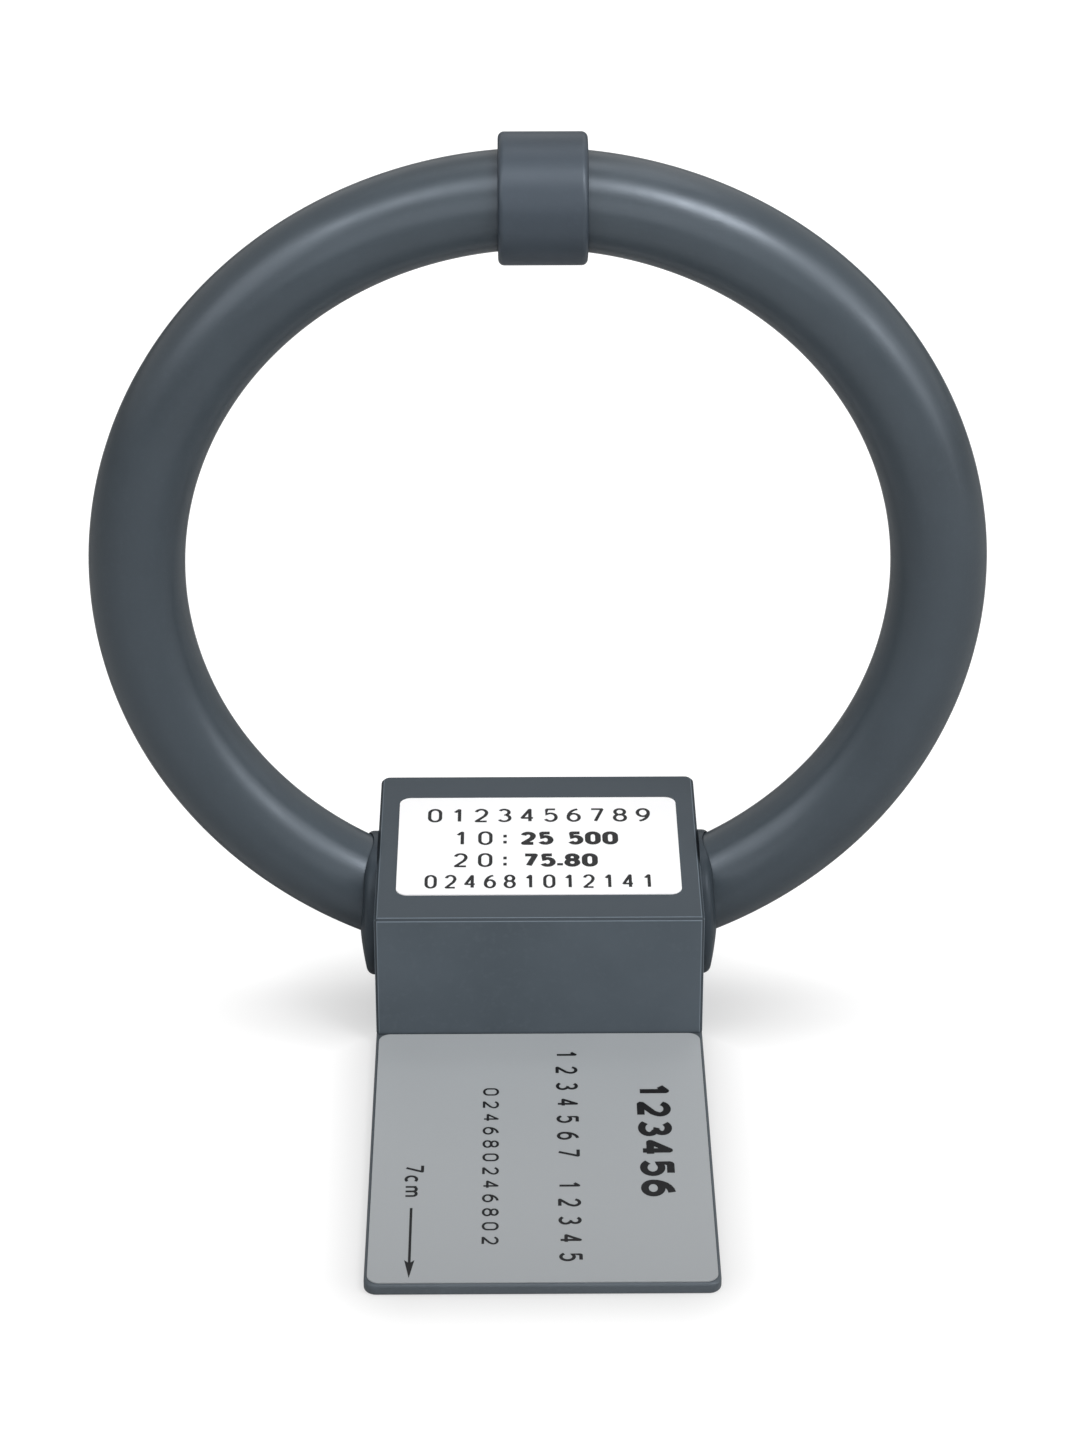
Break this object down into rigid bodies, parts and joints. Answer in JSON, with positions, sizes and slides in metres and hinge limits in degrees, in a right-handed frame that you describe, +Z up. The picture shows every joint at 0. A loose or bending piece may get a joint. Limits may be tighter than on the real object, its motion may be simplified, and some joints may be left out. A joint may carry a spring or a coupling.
{
  "type": "magnetic field antenna",
  "caption": "Upright tube ring with a screened winding on a connector housing; a base plate tongue sets the measuring distance.",
  "frame": {"origin": "on the base plate's underside, straight below the ring's centre", "axes": "+Z up, +X right seen from the tongue's side, +Y from the tongue towards the output jack"},
  "size_m": [0.149, 0.1296, 0.154],
  "materials": {
    "ring_grey": "semi-matt iron-grey uPVC tube",
    "collar_grey": "semi-matt iron-grey turned uPVC",
    "flange_grey": "semi-matt iron-grey turned uPVC",
    "housing_grey": "semi-matt iron-grey uPVC with a faint texture",
    "plate_grey": "semi-matt iron-grey uPVC sheet",
    "white_label": "white laminated label with black print",
    "tongue_label": "light grey matt film with black print",
    "copper": "copper, bare",
    "enamelled_wire": "enamelled litz wire, served",
    "spacer_foam": "white foam",
    "sleeve_black": "shrink sleeve",
    "steel": "zinc plated",
    "nickel": "nickel plated brass",
    "insulator": "PTFE",
    "gold": "gold plated",
    "board_brown": "phenolic board",
    "wire_red": "PVC insulation",
    "wire_white": "PVC insulation",
    "wire_black": "PVC insulation",
    "wire_green": "PVC insulation"
  },
  "bodies": {
    "root": {"ring_tube_right": "ring_grey", "ring_tube_left": "ring_grey", "top_collar": "collar_grey", "screen_right": "copper", "screen_left": "copper", "screen_gap_ring": "insulator", "winding": "enamelled_wire", "winding_sleeve": "sleeve_black", "winding_spacers": "spacer_foam", "flange_right": "flange_grey", "flange_left": "flange_grey", "lock_nut_right": "flange_grey", "lock_nut_left": "flange_grey", "housing_shell": "housing_grey", "base_plate": "plate_grey", "base_screws": "steel", "top_label": "white_label", "tongue_label": "tongue_label", "jack_body": "nickel", "jack_insulator": "insulator", "jack_contact": "gold", "jack_nut": "nickel", "jack_washer": "steel", "ground_tag": "steel", "terminal_board": "board_brown", "board_screws": "steel", "terminal_posts": "gold", "winding_leads": "wire_red", "signal_lead": "wire_white", "ground_lead": "wire_black", "screen_leads": "wire_green"}
  },
  "joints": []
}
